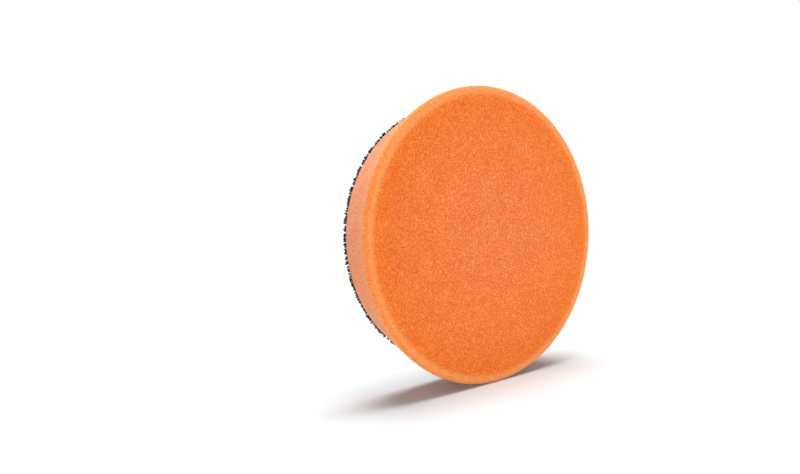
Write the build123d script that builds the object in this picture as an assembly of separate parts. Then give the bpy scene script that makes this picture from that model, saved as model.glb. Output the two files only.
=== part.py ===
"""Round foam polishing pad with a hook-and-loop back, for a 125 mm backing plate.

The pad spins about the Y axis. The loop face lies at y = 0 and faces +Y, towards the machine.
The working face lies towards -Y. +Z is up, and the pad stands on its edge.
"""

from build123d import *
import math
import os

# Driving dimensions, in millimetres
pad_diameter = 145.0  # the widest circle, on the shoulder just behind the working face
foam_thickness = 30.0
shoulder_radius = 2.0  # of the round edge between the widest circle and the face
easing_radius = 6.0  # of the gentle bend between the tapered wall and the widest circle
loop_diameter = 125.0  # the die-cut disc of loop fabric
foam_margin = 0.3  # bare foam left outside the loop fabric
pile_height = 1.4  # standing loops
cloth_thickness = 0.4  # knitted ground that holds the loops
film_thickness = 0.2  # hot-melt film between the cloth and the foam

# Planes across the spin axis, from the loop face to the working face
loop_face_y = 0.0
pile_root_y = loop_face_y - pile_height
cloth_back_y = pile_root_y - cloth_thickness
foam_back_y = cloth_back_y - film_thickness
working_face_y = foam_back_y - foam_thickness


def turned(profile):
    """A solid of revolution about the spin axis, from a closed profile of (radius, y)."""
    return revolve(make_face(profile), Axis.Y)


def layer(diameter, outer_y, inner_y):
    """A flat round layer of the backing, between two planes."""
    radius = diameter / 2
    corners = [(0, outer_y), (radius, outer_y), (radius, inner_y), (0, inner_y)]
    return turned(Polyline(*corners, close=True))


def tangent_point(start, centre, radius):
    """Where a straight line from start touches a circle, on the side away from the spin axis."""
    to_centre = centre - start
    turn = math.degrees(math.asin(radius / to_centre.length))
    reach = math.sqrt(to_centre.length**2 - radius**2)
    return start + to_centre.rotate(Axis.Z, turn).normalized() * reach


def foam_body():
    """The foam: a flat back, a wall that widens towards the face, a round shoulder and a flat face."""
    back_edge = Vector(loop_diameter / 2 + foam_margin, foam_back_y)
    widest = Vector(pad_diameter / 2, working_face_y + shoulder_radius)
    easing_centre = widest - Vector(easing_radius, 0)
    shoulder_centre = widest - Vector(shoulder_radius, 0)
    wall_end = tangent_point(back_edge, easing_centre, easing_radius)
    face_edge = Vector(shoulder_centre.X, working_face_y)
    wall = Line(back_edge, wall_end)
    easing = RadiusArc(wall_end, widest, easing_radius)
    shoulder = RadiusArc(widest, face_edge, shoulder_radius)
    face = Line(face_edge, (0, working_face_y))
    axis = Line((0, working_face_y), (0, foam_back_y))
    back = Line((0, foam_back_y), back_edge)
    return turned(wall + easing + shoulder + face + axis + back)


def adhesive_film():
    """The hot-melt film that bonds the loop fabric to the back of the foam."""
    return layer(loop_diameter, cloth_back_y, foam_back_y)


def loop_cloth():
    """The knitted ground of the loop fabric."""
    return layer(loop_diameter, pile_root_y, cloth_back_y)


def loop_pile():
    """The standing loops of the fabric, as the space that they fill."""
    return layer(loop_diameter, loop_face_y, pile_root_y)


nodes = {
    "foam_body": foam_body(),
    "adhesive_film": adhesive_film(),
    "loop_cloth": loop_cloth(),
    "loop_pile": loop_pile(),
}

os.makedirs("parts", exist_ok=True)
for name, solid in nodes.items():
    solid.label = name
    export_step(solid, f"parts/{name}.step")
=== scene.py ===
import math
import random

import bmesh
import bpy
import numpy as np
from mathutils import Matrix, Vector, noise


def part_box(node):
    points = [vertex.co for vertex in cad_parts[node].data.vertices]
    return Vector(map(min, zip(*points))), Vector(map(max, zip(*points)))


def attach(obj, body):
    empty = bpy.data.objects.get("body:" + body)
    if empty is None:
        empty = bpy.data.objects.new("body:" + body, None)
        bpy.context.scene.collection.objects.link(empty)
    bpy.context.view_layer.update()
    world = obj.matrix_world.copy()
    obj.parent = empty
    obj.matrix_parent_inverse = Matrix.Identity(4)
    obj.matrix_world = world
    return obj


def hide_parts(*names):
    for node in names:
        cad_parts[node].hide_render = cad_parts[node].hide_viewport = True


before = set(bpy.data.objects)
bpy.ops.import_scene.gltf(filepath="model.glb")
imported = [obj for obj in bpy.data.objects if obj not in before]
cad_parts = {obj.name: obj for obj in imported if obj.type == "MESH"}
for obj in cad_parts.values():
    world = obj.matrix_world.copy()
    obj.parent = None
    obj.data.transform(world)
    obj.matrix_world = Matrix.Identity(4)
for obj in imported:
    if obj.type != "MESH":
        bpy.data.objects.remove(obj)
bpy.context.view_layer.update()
body = "root"

# ---- Foam body ----------------------------------------------------------------------------------
# One block of open-cell polyurethane foam, cut with a blade to a taper, with a rounded shoulder at
# the working face. The cut opens the cells, so every side is covered in fine pits and thin struts.

foam_low, foam_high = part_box("foam_body")
pad_radius = foam_high.x
foam_back = foam_high.y
foam_face = foam_low.y
cloth_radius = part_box("loop_cloth")[1].x
foam_margin = 0.0003        # bare foam left round the loop cloth
foam_back_radius = cloth_radius + foam_margin
shoulder_radius = 0.002     # the edge between the wall and the face
easing_radius = 0.006       # the gentle bend behind that edge
foam_voxel = 0.00038        # the mesh, at about half the size of a cell
cell_size = 0.0008          # the pits that the blade opened
cell_depth = 0.00024
fine_cell_size = 0.0006     # the smaller cells between them
swell_size = 0.0040         # soft waves, where the foam gave way to the blade
swell_depth = 0.00010
mottle_size = 0.009         # faint patches in the dye
glow_reach = 0.048          # how far in from the edge the face's tone still changes
wall_reach = 0.010          # how far behind the face the wall's tone still changes


def arc(centre, radius, start, end, steps):
    """Points round an arc in (radius, y), with angles in radians from the radius axis."""
    turns = [start + (end - start) * i / steps for i in range(steps + 1)]
    return [(centre[0] + radius * math.cos(a), centre[1] + radius * math.sin(a)) for a in turns]


def spun(name, outline, steps=240):
    """A closed solid from an open outline of (radius, y) points, spun about the pad's own axis."""
    bm = bmesh.new()
    points = [bm.verts.new((r, y, 0)) for r, y in outline]
    edges = [bm.edges.new(pair) for pair in zip(points, points[1:])]
    bmesh.ops.spin(bm, geom=points + edges, cent=(0, 0, 0), axis=(0, 1, 0), angle=math.tau,
                   steps=steps, use_merge=True)
    bmesh.ops.remove_doubles(bm, verts=bm.verts, dist=1e-6)
    bmesh.ops.recalc_face_normals(bm, faces=bm.faces)
    mesh = bpy.data.meshes.new(name)
    bm.to_mesh(mesh)
    bm.free()
    return added(name, mesh)


def added(name, mesh):
    """A new object in the scene, smooth shaded."""
    mesh.polygons.foreach_set("use_smooth", [True] * len(mesh.polygons))
    obj = bpy.data.objects.new(name, mesh)
    bpy.context.collection.objects.link(obj)
    return obj


def finished(obj):
    """A new mesh of obj with its modifiers applied."""
    bpy.context.view_layer.update()
    return bpy.data.meshes.new_from_object(obj.evaluated_get(bpy.context.evaluated_depsgraph_get()))


def vectors(mesh, what):
    """The mesh's vertex places or normals as an array."""
    values = np.empty(len(mesh.vertices) * 3, np.float32)
    mesh.vertices.foreach_get(what, values)
    return values.reshape(-1, 3)


def new_material(name):
    """A material with its Principled shader, and short ways to add a node and a link."""
    material = bpy.data.materials.new(name)
    material.use_nodes = True
    tree = material.node_tree

    def node(kind, inputs=(), **settings):
        made = tree.nodes.new("ShaderNode" + kind)
        for key, value in settings.items():
            setattr(made, key, value)
        for key, value in dict(inputs).items():
            made.inputs[key].default_value = value
        return made

    return material, tree.nodes["Principled BSDF"], node, tree.links.new


def ramp(node, stops):
    """A colour ramp node with stops of (position, colour)."""
    made = node("ValToRGB")
    elements = made.color_ramp.elements
    while len(elements) < len(stops):
        elements.new(0.5)
    for element, (position, colour) in zip(elements, stops):
        element.position = position
        element.color = (*colour, 1)
    return made


# The outline: flat back, straight wall, a gentle bend to the widest circle, round edge, flat face.
# The shoulder, the easing and the ring of painted highlight and glow just inside the edge are places in
# (radius, y).
shoulder = (pad_radius - shoulder_radius, foam_face + shoulder_radius)
easing = (pad_radius - easing_radius, foam_face + shoulder_radius)
painted_glow_ring = (shoulder[0] - 0.0004, foam_face + 0.0002)
run, drop = easing[0] - foam_back_radius, foam_back - easing[1]
wall_lean = math.atan2(run, drop) + math.asin(easing_radius / math.hypot(run, drop))
foam = spun("foam_block", [(0, foam_back), (foam_back_radius, foam_back)]
            + arc(easing, easing_radius, wall_lean, 0, 6)
            + arc(shoulder, shoulder_radius, 0, -math.pi / 2, 8)[1:] + [(0, foam_face)])

even = foam.modifiers.new("even_mesh", "REMESH")
even.mode = "VOXEL"
even.voxel_size = foam_voxel


def relief(obj, name, kind, size, depth):
    """Lets a pattern of the given size push the surface in and out, by up to half the depth."""
    pattern = bpy.data.textures.new(name, kind)
    pattern.noise_scale = size
    push = obj.modifiers.new(name, "DISPLACE")
    push.texture = pattern
    push.texture_coords = "LOCAL"
    push.strength = depth
    push.mid_level = 0.5


relief(foam, "swell", "CLOUDS", swell_size, swell_depth)
smooth = finished(foam)
relief(foam, "cells", "VORONOI", cell_size, cell_depth)
pitted = finished(foam)
foam.modifiers.clear()
foam.data = pitted

# How far each point stands out of the pits, from 0 to 1, for painted shade in the pits and painted
# light on the struts.
proud = ((vectors(pitted, "co") - vectors(smooth, "co")) * vectors(smooth, "normal")).sum(1)
proud = (proud - proud.min()) / (proud.max() - proud.min())
pitted.attributes.new("strut", "FLOAT", "POINT").data.foreach_set("value", proud)
pitted.polygons.foreach_set("use_smooth", [True] * len(pitted.polygons))


def foam_material():
    material, shader, node, link = new_material("orange_foam")
    shader.inputs["Roughness"].default_value = 0.95
    shader.inputs["Specular IOR Level"].default_value = 0.06
    shader.inputs["Subsurface Weight"].default_value = 0.5
    shader.inputs["Subsurface Radius"].default_value = (0.006, 0.003, 0.0012)
    shader.inputs["Subsurface Scale"].default_value = 1.0
    shader.inputs["Sheen Weight"].default_value = 0.19
    shader.inputs["Sheen Roughness"].default_value = 0.5

    place = node("TexCoord")
    # How far a point is from the ring where the shoulder meets the face. The face's colour there is
    # painted light: palest on the ring itself, a painted highlight on the edge and a painted glow of
    # light through the foam, then a stronger orange a few millimetres further in, turning slowly paler
    # again towards the middle.
    parts = node("SeparateXYZ")
    link(place.outputs["Object"], parts.inputs[0])
    across = node("CombineXYZ")
    link(parts.outputs["X"], across.inputs["X"])
    link(parts.outputs["Z"], across.inputs["Y"])
    radius = node("VectorMath", operation="LENGTH")
    link(across.outputs[0], radius.inputs[0])
    section = node("CombineXYZ")
    link(radius.outputs["Value"], section.inputs["X"])
    link(parts.outputs["Y"], section.inputs["Y"])
    from_ring = node("VectorMath", operation="DISTANCE")
    from_ring.inputs[1].default_value = (*painted_glow_ring, 0)
    link(section.outputs[0], from_ring.inputs[0])
    reach = node("MapRange", {"From Min": 0.0, "From Max": glow_reach})
    link(from_ring.outputs["Value"], reach.inputs["Value"])
    face_tone_and_painted_glow = ramp(node, [(0.0, (0.77, 0.280, 0.085)), (0.02, (0.765, 0.250, 0.066)),
                            (0.055, (0.755, 0.175, 0.019)), (0.11, (0.75, 0.163, 0.016)),
                            (0.25, (0.745, 0.170, 0.023)), (0.4, (0.745, 0.174, 0.028)),
                            (1.0, (0.745, 0.182, 0.041))])
    link(reach.outputs["Result"], face_tone_and_painted_glow.inputs["Fac"])
    # Behind the widest circle the wall has its own tone, which changes with the depth behind the face:
    # paler in the first few millimetres, a painted glow of light through the shoulder carried on from
    # the ring, and a stronger orange further back.
    behind = node("MapRange", {"From Min": foam_face, "From Max": foam_face + wall_reach})
    link(parts.outputs["Y"], behind.inputs["Value"])
    wall_tone_and_painted_glow = ramp(node, [(0.1, (0.72, 0.235, 0.060)), (0.4, (0.73, 0.222, 0.057)),
                            (1.0, (0.74, 0.190, 0.043))])
    link(behind.outputs["Result"], wall_tone_and_painted_glow.inputs["Fac"])
    # It takes over from the face's tone within the first two millimetres.
    turning = node("MapRange", {"From Min": 0.03, "From Max": 0.2})
    link(behind.outputs["Result"], turning.inputs["Value"])
    tone = node("Mix", data_type="RGBA")
    link(turning.outputs["Result"], tone.inputs[0])
    link(face_tone_and_painted_glow.outputs["Color"], tone.inputs[6])
    link(wall_tone_and_painted_glow.outputs["Color"], tone.inputs[7])

    # Painted shade and light of the cut cells: pits darker and struts paler from the mesh's relief,
    # finer ones between them, and a faint mottle.
    strut = node("Attribute", attribute_name="strut")
    fine = node("TexNoise", {"Scale": 1 / cell_size, "Detail": 2.0, "Roughness": 0.65})
    link(place.outputs["Object"], fine.inputs["Vector"])
    mottle = node("TexNoise", {"Scale": 1 / mottle_size, "Detail": 1.0})
    link(place.outputs["Object"], mottle.inputs["Vector"])
    both = node("MapRange", {"From Min": 0.1, "From Max": 0.9, "To Min": -0.2, "To Max": 0.2})
    link(strut.outputs["Fac"], both.inputs["Value"])
    pit_shade_grain = node("Math", operation="ADD")
    link(both.outputs["Result"], pit_shade_grain.inputs[0])
    link(fine.outputs["Fac"], pit_shade_grain.inputs[1])
    wide = node("MapRange", {"From Min": 0.3, "From Max": 0.7, "To Min": -0.02, "To Max": 0.02})
    link(mottle.outputs["Fac"], wide.inputs["Value"])
    total = node("Math", operation="ADD")
    link(pit_shade_grain.outputs[0], total.inputs[0])
    link(wide.outputs["Result"], total.inputs[1])
    shade = ramp(node, [(0.28, (0.81, 0.51, 0.24)), (0.5, (1.0, 1.0, 1.0)),
                        (0.72, (1.08, 1.50, 2.32))])
    link(total.outputs[0], shade.inputs["Fac"])
    # The painted glow at the ring hides half of the painted shade of the pits there.
    strong = node("MapRange", {"From Min": 0.02, "From Max": 0.075, "To Min": 0.45, "To Max": 1.0})
    link(reach.outputs["Result"], strong.inputs["Value"])
    colour = node("Mix", data_type="RGBA", blend_type="MULTIPLY", clamp_result=True)
    link(strong.outputs["Result"], colour.inputs[0])
    link(tone.outputs[2], colour.inputs[6])
    link(shade.outputs["Color"], colour.inputs[7])
    link(colour.outputs[2], shader.inputs["Base Color"])
    cells = node("TexVoronoi", {"Scale": 1 / fine_cell_size})
    link(place.outputs["Object"], cells.inputs["Vector"])
    bump = node("Bump", {"Strength": 0.5, "Distance": 0.0002})
    link(cells.outputs["Distance"], bump.inputs["Height"])
    link(bump.outputs["Normal"], shader.inputs["Normal"])
    return material


foam.data.materials.clear()
foam.data.materials.append(foam_material())
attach(foam, body)
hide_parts("foam_body")

# ---- Adhesive film ------------------------------------------------------------------------------
# A film of hot-melt adhesive that bonds the loop cloth to the foam. Only its rim shows, where the
# melt has crept a little past the cloth and set with a soft, uneven edge.

film_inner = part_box("adhesive_film")[0].y       # against the foam
film_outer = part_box("adhesive_film")[1].y       # against the cloth
film_creep = 0.00015        # how far the melt has crept past the cloth
film_bead = (film_outer - film_inner) / 2
film_waver = 0.00022        # how unevenly it has crept
film_waver_size = 0.0035
film_cloud_size = 0.002     # cloudy patches in the set melt


def ragged(obj, from_radius, amount, size, seed):
    """Pushes the rim of a disc in and out, by a noise of the given size."""
    for vertex in obj.data.vertices:
        radius = math.hypot(vertex.co.x, vertex.co.z)
        if radius > from_radius:
            push = noise.noise(Vector((vertex.co.x, vertex.co.z, seed * size)) / size) * amount
            vertex.co.x *= 1 + push / radius
            vertex.co.z *= 1 + push / radius


film_rim = (cloth_radius + film_creep - film_bead, (film_inner + film_outer) / 2)
film = spun("glue_film", [(0, film_outer)] + arc(film_rim, film_bead, math.pi / 2, -math.pi / 2, 6)
            + [(0, film_inner)], steps=480)
ragged(film, cloth_radius - 0.002, film_waver, film_waver_size, seed=3)


def film_material():
    material, shader, node, link = new_material("set_hot_melt")
    shader.inputs["Specular IOR Level"].default_value = 0.4
    shader.inputs["Subsurface Weight"].default_value = 0.4
    shader.inputs["Subsurface Radius"].default_value = (0.001, 0.0007, 0.0004)
    shader.inputs["Subsurface Scale"].default_value = 1.0
    place = node("TexCoord")
    cloud = node("TexNoise", {"Scale": 1 / film_cloud_size, "Detail": 3.0})
    link(place.outputs["Object"], cloud.inputs["Vector"])
    tone = ramp(node, [(0.3, (0.20, 0.13, 0.085)), (0.7, (0.42, 0.31, 0.22))])
    link(cloud.outputs["Fac"], tone.inputs["Fac"])
    link(tone.outputs["Color"], shader.inputs["Base Color"])
    gloss = node("MapRange", {"To Min": 0.3, "To Max": 0.55})
    link(cloud.outputs["Fac"], gloss.inputs["Value"])
    link(gloss.outputs["Result"], shader.inputs["Roughness"])
    return material


film.data.materials.append(film_material())
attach(film, body)
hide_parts("adhesive_film")

# ---- Loop cloth ---------------------------------------------------------------------------------
# The knitted nylon ground of the loop fabric, die-cut to a disc. Its wales run up the pad, and the
# die leaves a slightly frayed rim.

cloth_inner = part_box("loop_cloth")[0].y         # against the film
cloth_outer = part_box("loop_cloth")[1].y         # where the loops stand
wale_pitch = 0.0008
rim_band = 0.004            # the outer ring of the cloth, which takes the fray
die_in = 0.00015            # how far the die turned the outer edge over, inwards and down
die_down = 0.00012
fray = 0.00025
fray_size = 0.0009

cloth = spun("loop_cloth_knit", [(0, cloth_outer), (cloth_radius - rim_band, cloth_outer),
             (cloth_radius - die_in, cloth_outer), (cloth_radius, cloth_outer - die_down),
             (cloth_radius, cloth_inner), (0, cloth_inner)], steps=720)
ragged(cloth, cloth_radius - 0.001, fray, fray_size, seed=11)


def cloth_material():
    material, shader, node, link = new_material("black_knit")
    shader.inputs["Roughness"].default_value = 0.85
    shader.inputs["Specular IOR Level"].default_value = 0.08
    shader.inputs["Sheen Weight"].default_value = 0.02
    place = node("TexCoord")
    ribs = []
    for axis in ("X", "Z"):
        rib = node("TexWave", {"Scale": math.tau / 20 / wale_pitch, "Distortion": 1.2, "Detail": 1.0},
                   bands_direction=axis)
        link(place.outputs["Object"], rib.inputs["Vector"])
        ribs.append(rib)
    knit = node("Math", operation="MULTIPLY")
    link(ribs[0].outputs["Fac"], knit.inputs[0])
    link(ribs[1].outputs["Fac"], knit.inputs[1])
    tone = ramp(node, [(0.0, (0.002, 0.002, 0.0025)), (1.0, (0.008, 0.008, 0.010))])
    link(knit.outputs[0], tone.inputs["Fac"])
    link(tone.outputs["Color"], shader.inputs["Base Color"])
    bump = node("Bump", {"Strength": 0.8, "Distance": 0.00015})
    link(knit.outputs[0], bump.inputs["Height"])
    link(bump.outputs["Normal"], shader.inputs["Normal"])
    return material


cloth.data.materials.append(cloth_material())
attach(cloth, body)
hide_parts("loop_cloth")

# ---- Loop pile ----------------------------------------------------------------------------------
# Thousands of small nylon loops that stand on the cloth, one from each stitch, and grip the hooks of
# the backing plate. They lean every way. At the die-cut rim they splay outwards in small tufts.

pile_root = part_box("loop_pile")[0].y
pile_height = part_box("loop_pile")[1].y - pile_root
yarn_radius = 0.00008
loop_half_span = 0.00035    # half the distance between the two feet of a loop
loop_sides = 3
loop_steps = 6
loops_in_batch = 150
pile_edge = 0.0004          # how far inside the rim the upright pile stops
stitch_shift = 0.35         # how far a stitch may sit from its place, in wales
tuft_pitch = 0.0012
tuft_depth = 0.0005         # how far inside the rim a tuft's loops may stand
tuft_fill = 0.85            # the share of its pitch that a tuft covers
loops_in_tuft = 16
# The least and the most of each, in shares of the pile's height, degrees, and shares of a loop's width.
pile_heights, pile_leans, pile_widths = (0.7, 0.98), (0, 38), (0.8, 1.3)
tuft_lengths, tuft_splays, tuft_widths = (0.9, 1.4), (45, 100), (0.5, 0.9)
# How a loop in a tuft differs from the tuft: its height, its lean in degrees, its heading in radians.
own_heights, own_leans, own_headings = (0.75, 1.05), (-28, 8), (-0.3, 0.3)
rng = random.Random(41)


def one_loop():
    """A single loop of yarn, on its two feet at the origin, of height 1 along +Y."""
    bm = bmesh.new()
    section = bmesh.ops.create_circle(bm, segments=loop_sides, radius=yarn_radius)["verts"]
    bmesh.ops.rotate(bm, verts=section, matrix=Matrix.Rotation(math.pi / 2, 3, "X"))
    bmesh.ops.translate(bm, verts=section, vec=(loop_half_span, 0, 0))
    bmesh.ops.spin(bm, geom=bm.verts[:] + bm.edges[:], cent=(0, 0, 0), axis=(0, 0, 1),
                   angle=math.pi, steps=loop_steps)
    bmesh.ops.scale(bm, verts=bm.verts, vec=(1, 1 / (loop_half_span + yarn_radius), 1))
    for vertex in bm.verts:
        vertex.co.x *= 0.6 + 0.9 * vertex.co.y
    bmesh.ops.recalc_face_normals(bm, faces=bm.faces)
    mesh = bpy.data.meshes.new("one_loop")
    bm.to_mesh(mesh)
    bm.free()
    return mesh


def standing(x, z, height, turn, lean, heading, width):
    """Where a loop stands: its feet at (x, z) on the cloth, leaning towards a heading."""
    tip = math.tan(lean)
    slant = Matrix.Identity(4)
    slant[0][1] = tip * math.cos(heading)
    slant[2][1] = tip * math.sin(heading)
    tall = Matrix.Diagonal((1, height * math.cos(lean), 1, 1))
    wide = Matrix.Diagonal((width, 1, width, 1))
    return (Matrix.Translation((x, pile_root, z)) @ slant @ tall
            @ Matrix.Rotation(turn, 4, "Y") @ wide)


def of_loops(name, places):
    """One mesh of many loops. They are added in small batches, because each operation on a large
    bmesh takes as long as the mesh is large."""
    whole = bmesh.new()
    for start in range(0, len(places), loops_in_batch):
        batch = bmesh.new()
        for place in places[start:start + loops_in_batch]:
            old_verts, old_faces = len(batch.verts), len(batch.faces)
            batch.from_mesh(loop)
            bmesh.ops.transform(batch, matrix=place, verts=batch.verts[old_verts:])
            # A loop that droops below the cloth comes out mirrored, so its faces are turned back.
            if place.determinant() < 0:
                bmesh.ops.reverse_faces(batch, faces=batch.faces[old_faces:])
        mesh = bpy.data.meshes.new("batch")
        batch.to_mesh(mesh)
        batch.free()
        whole.from_mesh(mesh)
        bpy.data.meshes.remove(mesh)
    mesh = bpy.data.meshes.new(name)
    whole.to_mesh(mesh)
    whole.free()
    return added(name, mesh)


def yarn_material(name, colour, sheen):
    material, shader, _, _ = new_material(name)
    shader.inputs["Base Color"].default_value = (*colour, 1)
    shader.inputs["Roughness"].default_value = 0.6
    shader.inputs["Specular IOR Level"].default_value = 0.1
    shader.inputs["Sheen Weight"].default_value = sheen
    shader.inputs["Sheen Roughness"].default_value = 0.4
    shader.inputs["Sheen Tint"].default_value = (0.75, 0.8, 1.0, 1)
    return material


loop = one_loop()
# The pile: a loop at each stitch, every other wale half a stitch on, in four shades of black.
places = []
rows = int(cloth_radius / wale_pitch) + 1
for i in range(-rows, rows + 1):
    for j in range(-rows, rows + 1):
        x = (i + rng.uniform(-stitch_shift, stitch_shift)) * wale_pitch
        z = (j + 0.5 * (i % 2) + rng.uniform(-stitch_shift, stitch_shift)) * wale_pitch
        if math.hypot(x, z) < cloth_radius - pile_edge:
            height = pile_height * rng.uniform(*pile_heights)
            turn = rng.uniform(0, math.tau)
            lean = math.radians(rng.uniform(*pile_leans))
            heading = rng.uniform(0, math.tau)
            places.append(standing(x, z, height, turn, lean, heading, rng.uniform(*pile_widths)))
rng.shuffle(places)
shades = [("yarn_black", (0.0045, 0.0045, 0.005), 0.02), ("yarn_soot", (0.006, 0.006, 0.007), 0.03),
          ("yarn_ink", (0.004, 0.004, 0.006), 0.02), ("yarn_ash", (0.008, 0.008, 0.009), 0.04)]
pile = []
for k, (name, colour, sheen) in enumerate(shades):
    piece = of_loops(f"loops_{k + 1}", places[k::len(shades)])
    piece.data.materials.append(yarn_material(name, colour, sheen))
    pile.append(piece)

# The rim: tufts side by side all round, each longest in its middle, splayed outwards.
tufts = int(math.tau * cloth_radius / tuft_pitch)
places = []
for k in range(tufts):
    at = (k + rng.uniform(-0.3, 0.3)) * math.tau / tufts
    length = pile_height * rng.uniform(*tuft_lengths)
    splay = rng.uniform(*tuft_splays)
    for _ in range(loops_in_tuft):
        aside = rng.uniform(-1, 1)
        way = at + tuft_fill * aside * math.pi / tufts
        out = cloth_radius - rng.uniform(0.0, tuft_depth)
        height = length * ((1 - 0.5 * aside**2) * rng.uniform(*own_heights))
        turn = rng.uniform(0, math.tau)
        lean = math.radians(splay + rng.uniform(*own_leans))
        heading = way + rng.uniform(*own_headings)
        places.append(standing(out * math.cos(way), out * math.sin(way), height, turn, lean, heading,
                               rng.uniform(*tuft_widths)))
fringe = of_loops("rim_tufts", places)
fringe.data.materials.append(yarn_material("yarn_rim", (0.006, 0.006, 0.008), 0.05))
pile.append(fringe)
for piece in pile:
    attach(piece, body)
    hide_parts("loop_pile")

# ---- Floor, light and camera --------------------------------------------------------------------
# A white studio floor and air, with a wide softbox above the pad and a weaker one in front of it.

floor_width = 40
bpy.ops.mesh.primitive_plane_add(size=floor_width, location=(0, 0, foam_low.z))
floor = bpy.context.object
floor.name = "studio_floor"
floor_material, floor_shader, _, _ = new_material("floor_white")
floor_shader.inputs["Base Color"].default_value = (0.665, 0.69, 0.70, 1)
floor_shader.inputs["Roughness"].default_value = 1.0
floor_shader.inputs["Specular IOR Level"].default_value = 0.0
floor.data.materials.append(floor_material)

# The air is white to look at, and lights the pad at about a third of that.
world = bpy.data.worlds.new("studio_air")
bpy.context.scene.world = world
world.use_nodes = True
air = world.node_tree.nodes
air["Background"].inputs["Color"].default_value = (1, 1, 1, 1)
strength = air.new("ShaderNodeMapRange")
strength.inputs["To Min"].default_value = 0.36
strength.inputs["To Max"].default_value = 1.0
sight = air.new("ShaderNodeLightPath")
world.node_tree.links.new(sight.outputs["Is Camera Ray"], strength.inputs["Value"])
world.node_tree.links.new(strength.outputs["Result"], air["Background"].inputs["Strength"])


def softbox(name, place, energy, width):
    """A far, soft light that looks at the pad from a place and is so many degrees wide."""
    lamp = bpy.data.lights.new(name, "SUN")
    lamp.energy = energy
    lamp.angle = math.radians(width)
    obj = bpy.data.objects.new(name, lamp)
    aim = Vector(place).to_track_quat("Z", "Y").to_matrix().to_4x4()
    obj.matrix_world = Matrix.Translation(place) @ aim
    bpy.context.collection.objects.link(obj)


softbox("high_softbox", (0.16, 0.04, 0.97), 3.9, 44)
softbox("side_softbox", (-0.66, -0.68, 0.05), 3.15, 35)

bpy.context.scene.view_settings.view_transform = "Standard"

camera_azimuth, camera_elevation, camera_roll = map(math.radians, (-36.79, 5.47, -5.0))
camera_aim = Vector((-0.02629, 0.00387, 0.00170))
camera_distance = 0.5236
back = Vector((math.sin(camera_azimuth) * math.cos(camera_elevation),
               -math.cos(camera_azimuth) * math.cos(camera_elevation), math.sin(camera_elevation)))
lens = bpy.data.cameras.new("camera")
lens.lens = 47.3
lens.sensor_width = 36
lens.clip_start = 0.01
camera = bpy.data.objects.new("camera", lens)
bpy.context.collection.objects.link(camera)
camera_turn = back.to_track_quat("Z", "Y").to_matrix() @ Matrix.Rotation(camera_roll, 3, "Z")
camera.matrix_world = (Matrix.Translation(camera_aim + back * camera_distance)
                       @ camera_turn.to_4x4())
bpy.context.scene.camera = camera
